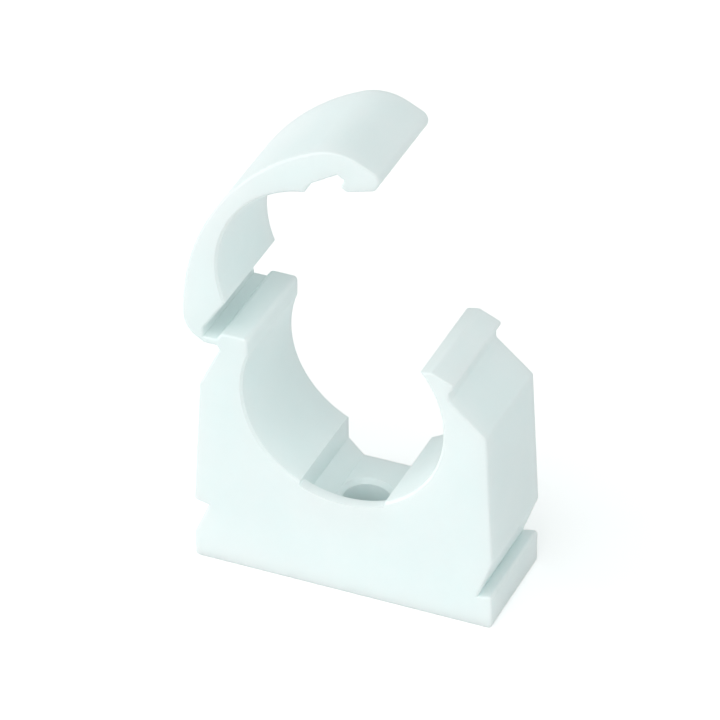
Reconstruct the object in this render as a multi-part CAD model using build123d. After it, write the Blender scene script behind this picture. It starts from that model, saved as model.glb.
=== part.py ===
"""Hinged pipe clip: a foot with a round pipe seat, and a strap on a living hinge that snaps shut over it.

The frame: origin at the centre of the foot's underside, +Z away from the wall, +Y along the pipe
(the front face looks toward -Y), +X toward the catch. The strap stands open, as it was moulded.
"""
import os
from math import cos, radians, sin

from build123d import *

# Pipe seat; SEAT_H is the height of the pipe's axis above the wall
PIPE_D = 22.0
SEAT_CLEARANCE = 0.1
STANDOFF = 11.6
DEPTH = 13.0
SEAT_R = PIPE_D / 2 + SEAT_CLEARANCE
SEAT_H = STANDOFF + SEAT_R

# Foot, side walls and side grooves
SIDE_T = 5.6
FLANGE_H = 4.0
GROOVE_DEPTH = 1.6
LEDGE_DROP = 0.3
RIGHT_GROOVE_TOP = 8.2
LEFT_GROOVE_FOOT = 3.0
LEFT_GROOVE_TOP = 7.1
WALL_DRAFT = 0.85
HALF_W = SEAT_R + SIDE_T
WALL_TOP_X = HALF_W - WALL_DRAFT
GROOVE_X = HALF_W - GROOVE_DEPTH

# Catch jaw on the right: shoulder, undercut, barb and ridge
SHOULDER_RISE = 0.9
SHOULDER_H = 3.5
CATCH_T = 0.65
UNDERCUT_H = 1.0
BARB_REACH = 0.65
BARB_H = 0.9
RIDGE_BACK = 2.6
RIDGE_H = 1.1
MOUTH_BACK = 1.6
MOUTH_DROP = 0.35
SHOULDER_TOP = SEAT_H + SHOULDER_RISE
CATCH_ROOT_X = SEAT_R + CATCH_T
CATCH_ROOT_Z = SHOULDER_TOP + SHOULDER_H
BARB_X = CATCH_ROOT_X + BARB_REACH
BARB_FOOT_Z = CATCH_ROOT_Z + UNDERCUT_H
BARB_Z = BARB_FOOT_Z + BARB_H
RIDGE_X = BARB_X - RIDGE_BACK
RIDGE_Z = BARB_Z + RIDGE_H
MOUTH_X = RIDGE_X - MOUTH_BACK

# Living hinge: a thin web that joins the left jaw to the strap
WEB_OUT = 3.5
WEB_RISE = 4.85
WEB_T = 0.8
WEB_L = 1.4
OPEN_ANGLE = 56.0
WEB_X = -(SEAT_R + WEB_OUT)
WEB_Z = SEAT_H + WEB_RISE
JAW_END_X = WEB_X + WEB_L / 2
STRAP_END_X = WEB_X - WEB_L / 2
WEB_TOP = WEB_Z + WEB_T / 2
WEB_LOW = WEB_Z - WEB_T / 2

# Hinge jaw on the left
JAW_RISE = 0.8
JAW_RELIEF = 0.7
JAW_BEVEL = 0.6
JAW_SHOULDER_DROP = 0.7
NOTCH_IN = 0.3
NOTCH_DROP = 0.45
JAW_TOP = WEB_TOP + JAW_RISE
JAW_MOUTH_X = JAW_RELIEF - SEAT_R
JAW_SHOULDER = SEAT_H - JAW_SHOULDER_DROP

# Strap, drawn shut and then swung open
STRAP_GAP = 0.2
RIDGE_GAP = 0.3
BARB_GAP = 0.4
CROWN_T = 2.0
HEEL_T = 0.2
HEEL_H = 1.7
HEEL_GAP = 0.65
HEEL_R = 3.0
TIP_INSET = 0.55
TIP_LIFT = 1.55
TIP_LEAN = 1.5
TIP_R = 1.1
TIP_SHOULDER_R = 6.0
HOOK_GAP = 0.15
HOOK_REACH = 0.95
HOOK_RISE = 0.2
STRAP_R = SEAT_R + STRAP_GAP
CROWN_TOP = SEAT_H + STRAP_R + CROWN_T
HEEL_X = STRAP_END_X - HEEL_T
HEEL_TOP = JAW_TOP + HEEL_H
CROWN_DROP = CROWN_TOP - HEEL_TOP
CROWN_R = (CROWN_DROP**2 + HEEL_X**2) / (2 * CROWN_DROP)
TIP_X = HALF_W - TIP_INSET
TIP_Z = SHOULDER_TOP + TIP_LIFT

# Screw pocket and hole
POCKET_W = 9.5
POCKET_FLOOR = 8.15
POCKET_CHAMFER = 1.75
LIP_T = 1.3
LIP_DROP = 0.4
SCREW_D = 5.0
SCREW_LEAD = 0.5

# Roundings: the sharpest corner stays wider than the rim; OVERRUN is how far a cutter passes what it cuts
EDGE_R = 0.25
RIM_MARGIN = 0.1
CORNER_R = 0.5
SHARP_R = EDGE_R + RIM_MARGIN
OVERRUN = 1.0


def shut(x, z):
    """Where a point of the front view goes when the strap swings shut about the hinge."""
    t = radians(OPEN_ANGLE)
    dx = x - WEB_X
    dz = z - WEB_Z
    return WEB_X + dx * cos(t) + dz * sin(t), WEB_Z - dx * sin(t) + dz * cos(t)


def on_line(p, q, x):
    """Second coordinate of the line through p and q where the first one is x."""
    return p[1] + (q[1] - p[1]) * (x - p[0]) / (q[0] - p[0])


def outline(corners):
    """Face in the front view through (x, z, radius) corners, each rounded by its own radius."""
    face = make_face(Polyline(*[(x, z) for x, z, _ in corners], close=True))
    for x, z, r in corners:
        if r:
            face = fillet(face.vertices().sort_by_distance((x, z))[0], r)
    return face


def saddle_face():
    """Foot, grooved walls and both jaws, drawn in to the pipe's middle plane before the seat is cut out."""
    mouth_z = on_line((MOUTH_X, RIDGE_Z - MOUTH_DROP), (RIDGE_X, RIDGE_Z), 0)
    body = outline([
        (-HALF_W, 0, CORNER_R),
        (HALF_W, 0, CORNER_R),
        (HALF_W, FLANGE_H, SHARP_R),
        (GROOVE_X, FLANGE_H - LEDGE_DROP, 0),
        (HALF_W, RIGHT_GROOVE_TOP, CORNER_R),
        (WALL_TOP_X, SHOULDER_TOP, CORNER_R),
        (CATCH_ROOT_X, CATCH_ROOT_Z, SHARP_R),
        (CATCH_ROOT_X, BARB_FOOT_Z, SHARP_R),
        (BARB_X, BARB_Z, SHARP_R),
        (RIDGE_X, RIDGE_Z, CORNER_R),
        (0, mouth_z, 0),
        (0, SEAT_H, 0),
        (JAW_MOUTH_X, SEAT_H, 0),
        (JAW_MOUTH_X, JAW_TOP, CORNER_R),
        (JAW_END_X + JAW_BEVEL, JAW_TOP, CORNER_R),
        (JAW_END_X, WEB_TOP, 0),
        (JAW_END_X, WEB_LOW, 0),
        (JAW_END_X + NOTCH_IN, WEB_LOW - NOTCH_DROP, 0),
        (-WALL_TOP_X, JAW_SHOULDER, CORNER_R),
        (-HALF_W, LEFT_GROOVE_TOP, SHARP_R),
        (-GROOVE_X, LEFT_GROOVE_TOP - LEDGE_DROP, 0),
        (-HALF_W, LEFT_GROOVE_FOOT, CORNER_R),
    ])
    return body - Pos(0, SEAT_H) * Circle(SEAT_R)


def web_face():
    """The web of the living hinge."""
    return Pos(WEB_X, WEB_Z) * Rectangle(WEB_L, WEB_T)


def strap_face():
    """Arched strap with its hook, drawn shut over the seat and then swung open."""
    heel_top = shut(STRAP_END_X, WEB_TOP)
    heel_low = shut(STRAP_END_X, WEB_LOW)
    heel_out = on_line(heel_low[::-1], (HEEL_TOP, HEEL_X), CROWN_TOP)
    end_z = JAW_TOP + STRAP_GAP
    mouth_z = on_line((MOUTH_X, RIDGE_Z + STRAP_GAP), (RIDGE_X, RIDGE_Z + RIDGE_GAP), 0)
    hook_x = CATCH_ROOT_X + HOOK_GAP
    hook_z = BARB_FOOT_Z - HOOK_GAP
    shoulder_in = (CATCH_ROOT_Z + STRAP_GAP, CATCH_ROOT_X)
    shoulder_out = (SHOULDER_TOP + STRAP_GAP, WALL_TOP_X)
    face = outline([
        (*heel_top, 0),
        (JAW_END_X + JAW_BEVEL - HEEL_GAP, end_z, CORNER_R),
        (0, end_z, 0),
        (0, mouth_z, 0),
        (RIDGE_X, RIDGE_Z + RIDGE_GAP, CORNER_R),
        (BARB_X + BARB_GAP, BARB_Z, 0),
        (hook_x + HOOK_REACH, hook_z + HOOK_RISE, 0),
        (hook_x, hook_z, SHARP_R),
        (hook_x, on_line(shoulder_in[::-1], shoulder_out[::-1], hook_x), SHARP_R),
        (on_line(shoulder_in, shoulder_out, TIP_Z), TIP_Z, CORNER_R),
        (TIP_X, TIP_Z, TIP_R),
        (TIP_X - TIP_LEAN, CROWN_TOP, 0),
        (heel_out, CROWN_TOP, 0),
        (*heel_low, 0),
    ])
    face &= Pos(0, CROWN_TOP - CROWN_R) * Circle(CROWN_R)
    face = fillet(face.vertices().sort_by_distance((HEEL_X, HEEL_TOP))[0], HEEL_R)
    face = fillet(face.vertices().sort_by_distance((TIP_X, CROWN_TOP))[0], TIP_SHOULDER_R)
    face -= Pos(0, SEAT_H) * Circle(STRAP_R)
    return Pos(WEB_X, WEB_Z) * Rot(0, 0, OPEN_ANGLE) * Pos(-WEB_X, -WEB_Z) * face


def across(face, width):
    """Front-view face made into a solid, half of the width to each side of the middle plane."""
    return extrude(Plane.XZ * face, width / 2, both=True)


def rims(body):
    """Edges of the front and back faces."""
    faces = body.faces().sort_by(Axis.Y)
    return faces[0].edges() + faces[-1].edges()


def round_pipe(edge):
    """Whether an edge runs round the pipe, on the seat or inside the strap."""
    return edge.geom_type == GeomType.CIRCLE and SEAT_R - EDGE_R < edge.radius < STRAP_R + 2 * EDGE_R


def moulding():
    """The whole clip as it leaves the mould, its rims chamfered round the pipe and rounded elsewhere."""
    body = across(saddle_face() + web_face() + strap_face(), DEPTH)
    body = chamfer(rims(body).filter_by(round_pipe), EDGE_R)
    return fillet(rims(body).filter_by(round_pipe, reverse=True), EDGE_R)


def screw_way():
    """Space for the screw: a pocket for its head, open at the back, and the hole through the foot."""
    half = POCKET_W / 2
    pocket = outline([
        (-half, SEAT_H, 0),
        (-half, POCKET_FLOOR + POCKET_CHAMFER, 0),
        (POCKET_CHAMFER - half, POCKET_FLOOR, 0),
        (half - POCKET_CHAMFER, POCKET_FLOOR, 0),
        (half, POCKET_FLOOR + POCKET_CHAMFER, 0),
        (half, SEAT_H, 0),
    ])
    lowered = Pos(0, SEAT_H) * Circle(SEAT_R + LIP_DROP)
    over_lip = lowered & Pos(0, SEAT_H / 2) * Rectangle(POCKET_W, SEAT_H)
    head = Pos(0, LIP_T, 0) * across(pocket, DEPTH) + across(over_lip, DEPTH)
    shank = extrude(Pos(0, 0, -OVERRUN) * Circle(SCREW_D / 2), POCKET_FLOOR + 2 * OVERRUN)
    lead = Pos(0, 0, POCKET_FLOOR - SCREW_LEAD / 2) * Cone(SCREW_D / 2, SCREW_D / 2 + SCREW_LEAD, SCREW_LEAD)
    return head + shank + lead


def build():
    """The moulding cut on both sides of the web, so that the strap can swing."""
    whole = moulding()
    web_room = across(web_face(), DEPTH + OVERRUN)
    saddle, strap = (whole - web_room).solids().sort_by(Axis.Z)
    return {
        "saddle": saddle - screw_way(),
        "hinge_web": whole & web_room,
        "strap": strap,
    }


os.makedirs("parts", exist_ok=True)
for name, shape in build().items():
    export_step(shape, f"parts/{name}.step")
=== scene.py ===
"""Looks of a hinged pipe clip in white moulded plastic, standing open on a white floor."""
from math import cos, radians, sin

import bpy
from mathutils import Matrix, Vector


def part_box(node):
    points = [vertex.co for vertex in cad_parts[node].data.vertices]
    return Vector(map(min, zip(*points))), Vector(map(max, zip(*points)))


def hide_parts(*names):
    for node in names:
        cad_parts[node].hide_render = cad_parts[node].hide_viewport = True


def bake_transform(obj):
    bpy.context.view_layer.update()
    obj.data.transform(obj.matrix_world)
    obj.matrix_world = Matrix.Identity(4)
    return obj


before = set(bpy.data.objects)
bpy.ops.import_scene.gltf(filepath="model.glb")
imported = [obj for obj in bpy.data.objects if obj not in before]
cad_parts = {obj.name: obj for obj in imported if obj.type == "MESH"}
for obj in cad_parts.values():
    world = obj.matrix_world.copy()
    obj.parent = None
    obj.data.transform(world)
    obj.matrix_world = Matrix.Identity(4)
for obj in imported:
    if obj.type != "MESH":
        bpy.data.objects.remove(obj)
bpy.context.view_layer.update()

# Saddle: the foot, pipe seat and both jaws of the clip.
# It is injection moulded in white polypropylene, and the mould leaves it a fine satin skin.
# A screw through its pocket fixes it to the wall.
MILLIMETRE = 0.001
PLASTIC_PALE = (0.855, 0.94, 0.935, 1)
PLASTIC_CLOUD = (0.825, 0.92, 0.915, 1)
PLASTIC_IOR = 1.49
CLOUDS = {"size": 9 * MILLIMETRE, "detail": 3}
GRAIN = {"size": 0.35 * MILLIMETRE, "detail": 2}
GRAIN_HEIGHT = 0.010 * MILLIMETRE
RIPPLES = {"size": 3.5 * MILLIMETRE, "detail": 1}
RIPPLE_HEIGHT = 0.012 * MILLIMETRE
NOISE_ROUGHNESS = 0.55
NOISE_MIDDLE = 0.5
NOISE_SPREAD = 0.18
SKIN_ROUGHNESS = (0.40, 0.54)
GLOW_SHARE = 0.55
GLOW_TINT = (0.9, 1.0, 1.0)
GLOW_DEPTH = 3.5 * MILLIMETRE
GLOW_START = 1.2 * MILLIMETRE
GLOW_FULL = 4.5 * MILLIMETRE


def fill_sockets(tree, node, sockets):
    """Fills a node's sockets: another node's output is linked, anything else is set as a constant."""
    for name, value in sockets.items():
        if isinstance(value, bpy.types.NodeSocket):
            tree.links.new(value, node.inputs[name])
        else:
            node.inputs[name].default_value = value


def add_node(tree, kind, sockets, **settings):
    """A new node of that kind, with its settings made before its sockets are filled."""
    node = tree.nodes.new(kind)
    for name, value in settings.items():
        setattr(node, name, value)
    fill_sockets(tree, node, sockets)
    return node


def noise(tree, coords, size, detail):
    """A noise pattern with features of about that size."""
    sockets = {"Vector": coords, "Scale": 1 / size, "Detail": detail, "Roughness": NOISE_ROUGHNESS}
    return add_node(tree, "ShaderNodeTexNoise", sockets).outputs["Fac"]


def stretched(tree, pattern, low, high):
    """The middle of a noise pattern, stretched to run from low to high."""
    stretch = add_node(tree, "ShaderNodeMapRange", {
        "Value": pattern,
        "From Min": NOISE_MIDDLE - NOISE_SPREAD,
        "From Max": NOISE_MIDDLE + NOISE_SPREAD,
        "To Min": low,
        "To Max": high,
    })
    return stretch.outputs["Result"]


def glow_share(tree, coords):
    """Share of the light that sinks in: none round the thin web of the hinge, more in thick walls."""
    low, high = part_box("hinge_web")
    middle = (low + high) / 2
    offset = add_node(tree, "ShaderNodeMapping", {
        "Vector": coords,
        "Location": (-middle.x, 0, -middle.z),
        "Scale": (1, 0, 1),
    })
    distance = add_node(tree, "ShaderNodeVectorMath", {0: offset.outputs["Vector"]}, operation="LENGTH")
    rise = add_node(tree, "ShaderNodeMapRange", {
        "Value": distance.outputs["Value"],
        "From Min": GLOW_START,
        "From Max": GLOW_FULL,
        "To Max": GLOW_SHARE,
    }, interpolation_type="SMOOTHSTEP")
    return rise.outputs["Result"]


def moulded_plastic(name, pale, cloud):
    """Satin plastic with faint clouds, slow ripples, a fine grain and a glow in its thick walls."""
    material = bpy.data.materials.new(name)
    material.use_nodes = True
    tree = material.node_tree
    coords = tree.nodes.new("ShaderNodeTexCoord").outputs["Object"]
    clouds = stretched(tree, noise(tree, coords, **CLOUDS), 0, 1)
    grain = noise(tree, coords, **GRAIN)
    ripples = noise(tree, coords, **RIPPLES)
    colour = add_node(tree, "ShaderNodeMix", {"Factor": clouds, "A": pale, "B": cloud}, data_type="RGBA")
    slow = add_node(tree, "ShaderNodeBump", {"Height": ripples, "Distance": RIPPLE_HEIGHT})
    fine = add_node(tree, "ShaderNodeBump", {
        "Height": grain,
        "Distance": GRAIN_HEIGHT,
        "Normal": slow.outputs["Normal"],
    })
    fill_sockets(tree, tree.nodes["Principled BSDF"], {
        "Base Color": colour.outputs["Result"],
        "Roughness": stretched(tree, grain, *SKIN_ROUGHNESS),
        "IOR": PLASTIC_IOR,
        "Normal": fine.outputs["Normal"],
        "Subsurface Weight": glow_share(tree, coords),
        "Subsurface Radius": GLOW_TINT,
        "Subsurface Scale": GLOW_DEPTH,
    })
    return material


def finish_node(node, material):
    """Gives a solid of the clip its material."""
    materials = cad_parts[node].data.materials
    materials.clear()
    materials.append(material)


white_plastic = moulded_plastic("satin_white_plastic", PLASTIC_PALE, PLASTIC_CLOUD)
finish_node("saddle", white_plastic)

# Living hinge: the thin web that joins the left jaw to the strap.
# It is moulded in one with them, in the same plastic, and is built here as a straight bar that stays as
# it is made.
WEB_STEPS = 29
WEB_EDGE = 0.25 * MILLIMETRE
WEB_EDGE_STEPS = 5


def web_tree(material):
    """A flat bar with rounded edges, swept from the jaw's end to the strap's end."""
    tree = bpy.data.node_groups.new("hinge_web_shape", "GeometryNodeTree")
    tree.interface.new_socket("Geometry", in_out="OUTPUT", socket_type="NodeSocketGeometry")
    for name in ("Jaw End", "Strap End"):
        tree.interface.new_socket(name, in_out="INPUT", socket_type="NodeSocketVector")
    for name in ("Depth", "Thickness", "Edge Radius"):
        tree.interface.new_socket(name, in_out="INPUT", socket_type="NodeSocketFloat")
    sizes = tree.nodes.new("NodeGroupInput").outputs
    line = add_node(tree, "GeometryNodeCurvePrimitiveLine", {
        "Start": sizes["Jaw End"],
        "End": sizes["Strap End"],
    })
    path = add_node(tree, "GeometryNodeResampleCurve", {
        "Curve": line.outputs["Curve"],
        "Count": WEB_STEPS,
    })
    section = add_node(tree, "GeometryNodeCurvePrimitiveQuadrilateral", {
        "Width": sizes["Depth"],
        "Height": sizes["Thickness"],
    })
    rounded = add_node(tree, "GeometryNodeFilletCurve", {
        "Curve": section.outputs["Curve"],
        "Count": WEB_EDGE_STEPS,
        "Radius": sizes["Edge Radius"],
    }, mode="POLY")
    sweep = add_node(tree, "GeometryNodeCurveToMesh", {
        "Curve": path.outputs["Curve"],
        "Profile Curve": rounded.outputs["Curve"],
        "Fill Caps": True,
    })
    realize = add_node(tree, "GeometryNodeRealizeInstances", {"Geometry": sweep.outputs["Mesh"]})
    paint = add_node(tree, "GeometryNodeSetMaterial", {
        "Geometry": realize.outputs["Geometry"],
        "Material": material,
    })
    add_node(tree, "NodeGroupOutput", {"Geometry": paint.outputs["Geometry"]})
    return tree


def grown(name, tree, sizes):
    """An object with the plain mesh that a node tree makes from those sizes."""
    piece = bpy.data.objects.new(name, bpy.data.meshes.new(name))
    bpy.context.scene.collection.objects.link(piece)
    shape = piece.modifiers.new("shape", "NODES")
    shape.node_group = tree
    for item in tree.interface.items_tree:
        if item.in_out == "INPUT":
            shape[item.identifier] = sizes[item.name]
    depsgraph = bpy.context.evaluated_depsgraph_get()
    mesh = bpy.data.meshes.new_from_object(piece.evaluated_get(depsgraph))
    piece.modifiers.clear()
    piece.data = mesh
    return piece


web_low, web_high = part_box("hinge_web")
web_middle = (web_low + web_high) / 2
jaw_end = (web_high.x, web_middle.y, web_middle.z)
strap_end = (web_low.x, web_middle.y, web_middle.z)
web = grown("living_hinge", web_tree(white_plastic), {
    "Jaw End": jaw_end,
    "Strap End": strap_end,
    "Depth": web_high.y - web_low.y,
    "Thickness": web_high.z - web_low.z,
    "Edge Radius": WEB_EDGE,
})
web.data.shade_smooth()
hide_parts("hinge_web")
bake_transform(web)

# Strap: the arch that closes over the pipe and hooks under the right jaw.
# It is the same plastic, moulded standing open, and meets the web of the hinge at its end.
finish_node("strap", white_plastic)

# Floor: a plain white sheet under the clip.
# Its own light only lifts it to white for the eye, so the clip's shadow stays on it.
FLOOR_HALF = 20.0
FLOOR_Z = -0.02 * MILLIMETRE
FLOOR_COLOUR = (0.88, 0.88, 0.88, 1)
FLOOR_LIFT = 0.40
WHITE = (1, 1, 1, 1)


def seen_rays(tree):
    """1 for what is seen directly, in a reflection or through glass, 0 for light that falls on things."""
    rays = tree.nodes.new("ShaderNodeLightPath").outputs
    seen = rays["Is Camera Ray"]
    for name in ("Is Glossy Ray", "Is Transmission Ray"):
        larger = add_node(tree, "ShaderNodeMath", {0: seen, 1: rays[name]}, operation="MAXIMUM")
        seen = larger.outputs["Value"]
    return seen


floor_paint = bpy.data.materials.new("white_sheet")
floor_paint.use_nodes = True
floor_tree = floor_paint.node_tree
floor_seen = seen_rays(floor_tree)
floor_lift = add_node(floor_tree, "ShaderNodeMath", {0: floor_seen, 1: FLOOR_LIFT}, operation="MULTIPLY")
fill_sockets(floor_tree, floor_tree.nodes["Principled BSDF"], {
    "Base Color": FLOOR_COLOUR,
    "Roughness": 1.0,
    "Specular IOR Level": 0.0,
    "Emission Color": WHITE,
    "Emission Strength": floor_lift.outputs["Value"],
})

floor_corners = [
    (-FLOOR_HALF, -FLOOR_HALF, FLOOR_Z),
    (FLOOR_HALF, -FLOOR_HALF, FLOOR_Z),
    (FLOOR_HALF, FLOOR_HALF, FLOOR_Z),
    (-FLOOR_HALF, FLOOR_HALF, FLOOR_Z),
]
floor_mesh = bpy.data.meshes.new("floor")
floor_mesh.from_pydata(floor_corners, [], [(0, 1, 2, 3)])
floor_mesh.materials.append(floor_paint)
floor = bpy.data.objects.new("floor", floor_mesh)
bpy.context.scene.collection.objects.link(floor)

# Light: wide soft lamps, two low at the sides with the left one stronger, one above in front
# and a weak one behind. An even pale room fills in the rest.
# The room looks white behind the floor's far edge.
LAMPS = {
    "left_lamp": {"azimuth": -66.0, "elevation": 10.0, "strength": 1.92},
    "right_lamp": {"azimuth": 60.0, "elevation": 10.0, "strength": 0.70},
    "front_lamp": {"azimuth": 0.0, "elevation": 50.0, "strength": 1.10},
    "back_lamp": {"azimuth": 165.0, "elevation": 10.0, "strength": 0.50},
}
LAMP_SPREAD = 60.0
LAMP_COLOUR = (1.0, 0.99, 0.985)
ROOM_COLOUR = (0.88, 1.0, 0.995, 1)
ROOM_STRENGTH = 0.34


def outward(azimuth, elevation):
    """Unit direction from the clip to what stands round it: azimuth 0 is in front, 90 on its right."""
    a = radians(azimuth)
    e = radians(elevation)
    return Vector((sin(a) * cos(e), -cos(a) * cos(e), sin(e)))


def soft_lamp(name, azimuth, elevation, strength):
    """A far lamp with a wide soft face, shining on the clip from that direction."""
    data = bpy.data.lights.new(name, "SUN")
    data.energy = strength
    data.angle = radians(LAMP_SPREAD)
    data.color = LAMP_COLOUR
    lamp = bpy.data.objects.new(name, data)
    lamp.rotation_mode = "QUATERNION"
    lamp.rotation_quaternion = outward(azimuth, elevation).to_track_quat("Z", "Y")
    bpy.context.scene.collection.objects.link(lamp)


for lamp_name, lamp_place in LAMPS.items():
    soft_lamp(lamp_name, **lamp_place)

room = bpy.data.worlds.new("room")
bpy.context.scene.world = room
room.use_nodes = True
room_tree = room.node_tree
room_light = room_tree.nodes["Background"]
fill_sockets(room_tree, room_light, {"Color": ROOM_COLOUR, "Strength": ROOM_STRENGTH})
room_seen = add_node(room_tree, "ShaderNodeBackground", {"Color": WHITE, "Strength": 1.0})
room_mix = add_node(room_tree, "ShaderNodeMixShader", {
    "Fac": seen_rays(room_tree),
    1: room_light.outputs["Background"],
    2: room_seen.outputs["Background"],
})
fill_sockets(room_tree, room_tree.nodes["World Output"], {"Surface": room_mix.outputs["Shader"]})

# Camera: a long lens that looks down on the clip from the front, a little to its right.
# It stands well back, so that edges that run alike stay nearly parallel.
CAMERA_AIM = Vector((-0.0008, 0.0002, 0.0247))
CAMERA_AZIMUTH = 23.0
CAMERA_ELEVATION = 34.4
CAMERA_DISTANCE = 0.6
CAMERA_LENS = 293.2
CAMERA_SENSOR = 36.0

camera_data = bpy.data.cameras.new("camera")
camera_data.lens = CAMERA_LENS
camera_data.sensor_width = CAMERA_SENSOR
camera = bpy.data.objects.new("camera", camera_data)
camera_side = outward(CAMERA_AZIMUTH, CAMERA_ELEVATION)
camera.location = CAMERA_AIM + camera_side * CAMERA_DISTANCE
camera.rotation_mode = "QUATERNION"
camera.rotation_quaternion = camera_side.to_track_quat("Z", "Y")
bpy.context.scene.collection.objects.link(camera)
bpy.context.scene.camera = camera
bpy.context.scene.view_settings.view_transform = "Standard"
